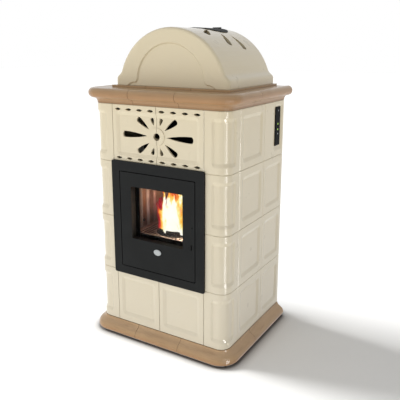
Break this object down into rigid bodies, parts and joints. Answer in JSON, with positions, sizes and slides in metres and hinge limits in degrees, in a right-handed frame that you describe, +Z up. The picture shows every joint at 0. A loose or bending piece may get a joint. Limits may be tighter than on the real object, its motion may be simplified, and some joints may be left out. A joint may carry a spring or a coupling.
{
  "type": "pellet stove",
  "caption": "Free-standing pellet stove with glazed tile casing, barrel-vault top with filler lid, glazed fire door, pellet auger, smoke fan and room-air fan.",
  "frame": {"origin": "on the floor, under the centre of the overall box", "axes": "+Z up, -Y out through the fire door, +X to the right seen from the front"},
  "size_m": [0.654, 0.539, 1.2197],
  "materials": {
    "cream_glaze": "gloss",
    "brown_glaze": "gloss",
    "black_paint": "satin",
    "fire_iron": "matte",
    "liner_steel": "satin",
    "fire_glass": "clear",
    "badge_metal": "satin",
    "black_plastic": "gloss",
    "grey_plastic": "matte",
    "plain_steel": "satin",
    "zinc_steel": "satin"
  },
  "bodies": {
    "casing": {"ash_drawer": "plain_steel", "auger_gearmotor": "zinc_steel", "auger_tube": "zinc_steel", "back_panel": "black_paint", "burn_pot": "fire_iron", "chassis": "black_paint", "control_panel": "black_plastic", "corner_tile_left_1": "cream_glaze", "corner_tile_left_2": "cream_glaze", "corner_tile_left_3": "cream_glaze", "corner_tile_left_4": "cream_glaze", "corner_tile_right_1": "cream_glaze", "corner_tile_right_2": "cream_glaze", "corner_tile_right_3": "cream_glaze", "corner_tile_right_4": "cream_glaze", "cornice_corner_left": "brown_glaze", "cornice_corner_right": "brown_glaze", "cornice_front": "brown_glaze", "cornice_side_left": "brown_glaze", "cornice_side_right": "brown_glaze", "door_frame": "black_paint", "filler_collar": "black_paint", "fire_liner": "liner_steel", "firebox": "fire_iron", "hearth_plate": "fire_iron", "lower_tile_left": "cream_glaze", "lower_tile_right": "cream_glaze", "pellet_hopper": "zinc_steel", "pierced_tile_left": "cream_glaze", "pierced_tile_right": "cream_glaze", "plinth_corner_left": "brown_glaze", "plinth_corner_right": "brown_glaze", "plinth_front": "brown_glaze", "plinth_side_left": "brown_glaze", "plinth_side_right": "brown_glaze", "power_inlet": "black_plastic", "rear_tiles_left": "cream_glaze", "rear_tiles_right": "cream_glaze", "room_fan_housing": "zinc_steel", "side_tile_left_1": "cream_glaze", "side_tile_left_2": "cream_glaze", "side_tile_left_3": "cream_glaze", "side_tile_left_4": "cream_glaze", "side_tile_right_1": "cream_glaze", "side_tile_right_2": "cream_glaze", "side_tile_right_3": "cream_glaze", "side_tile_right_4": "cream_glaze", "smoke_fan_housing": "zinc_steel", "top_vault": "cream_glaze"},
    "door": {"fire_door": "black_paint", "door_glass": "fire_glass", "door_badge": "badge_metal"},
    "latch": {"door_latch": "black_paint"},
    "lid": {"hopper_lid": "black_paint"},
    "screw": {"auger_screw": "plain_steel"},
    "smoke_wheel": {"smoke_impeller": "plain_steel"},
    "air_wheel": {"room_fan_rotor": "plain_steel"},
    "upper_key": {"key_upper": "grey_plastic"},
    "lower_key": {"key_lower": "grey_plastic"},
    "rocker": {"power_switch": "grey_plastic"}
  },
  "joints": [
    {"name": "door_hinge", "type": "hinge", "parent": "casing", "child": "door", "pos_m": [-0.163, -0.2395, 0.493], "axis": [0, 0, -1], "range_deg": [0, 110]},
    {"name": "latch_turn", "type": "hinge", "parent": "door", "child": "latch", "pos_m": [0.153, -0.2275, 0.436], "axis": [0, 1, 0], "range_deg": [0, 90]},
    {"name": "lid_hinge", "type": "hinge", "parent": "casing", "child": "lid", "pos_m": [0, 0.2056, 1.2161], "axis": [-1, 0, 0], "range_deg": [0, 80]},
    {"name": "auger_spin", "type": "hinge", "parent": "casing", "child": "screw", "pos_m": [0, -0.0247, 0.612], "axis": [0, 0.8192, -0.5736], "continuous": true},
    {"name": "smoke_fan_spin", "type": "hinge", "parent": "casing", "child": "smoke_wheel", "pos_m": [0.1, 0.11, 0.13], "axis": [1, 0, 0], "continuous": true},
    {"name": "room_fan_spin", "type": "hinge", "parent": "casing", "child": "air_wheel", "pos_m": [0, -0.108, 0.11], "axis": [1, 0, 0], "continuous": true},
    {"name": "upper_key_press", "type": "slide", "parent": "casing", "child": "upper_key", "axis": [-1, 0, 0], "range_m": [0, 0.001], "stiffness_N_per_m": 300},
    {"name": "lower_key_press", "type": "slide", "parent": "casing", "child": "lower_key", "axis": [-1, 0, 0], "range_m": [0, 0.001], "stiffness_N_per_m": 300},
    {"name": "switch_rock", "type": "hinge", "parent": "casing", "child": "rocker", "pos_m": [-0.19, 0.2273, 0.144], "axis": [1, 0, 0], "range_deg": [0, 20]}
  ]
}
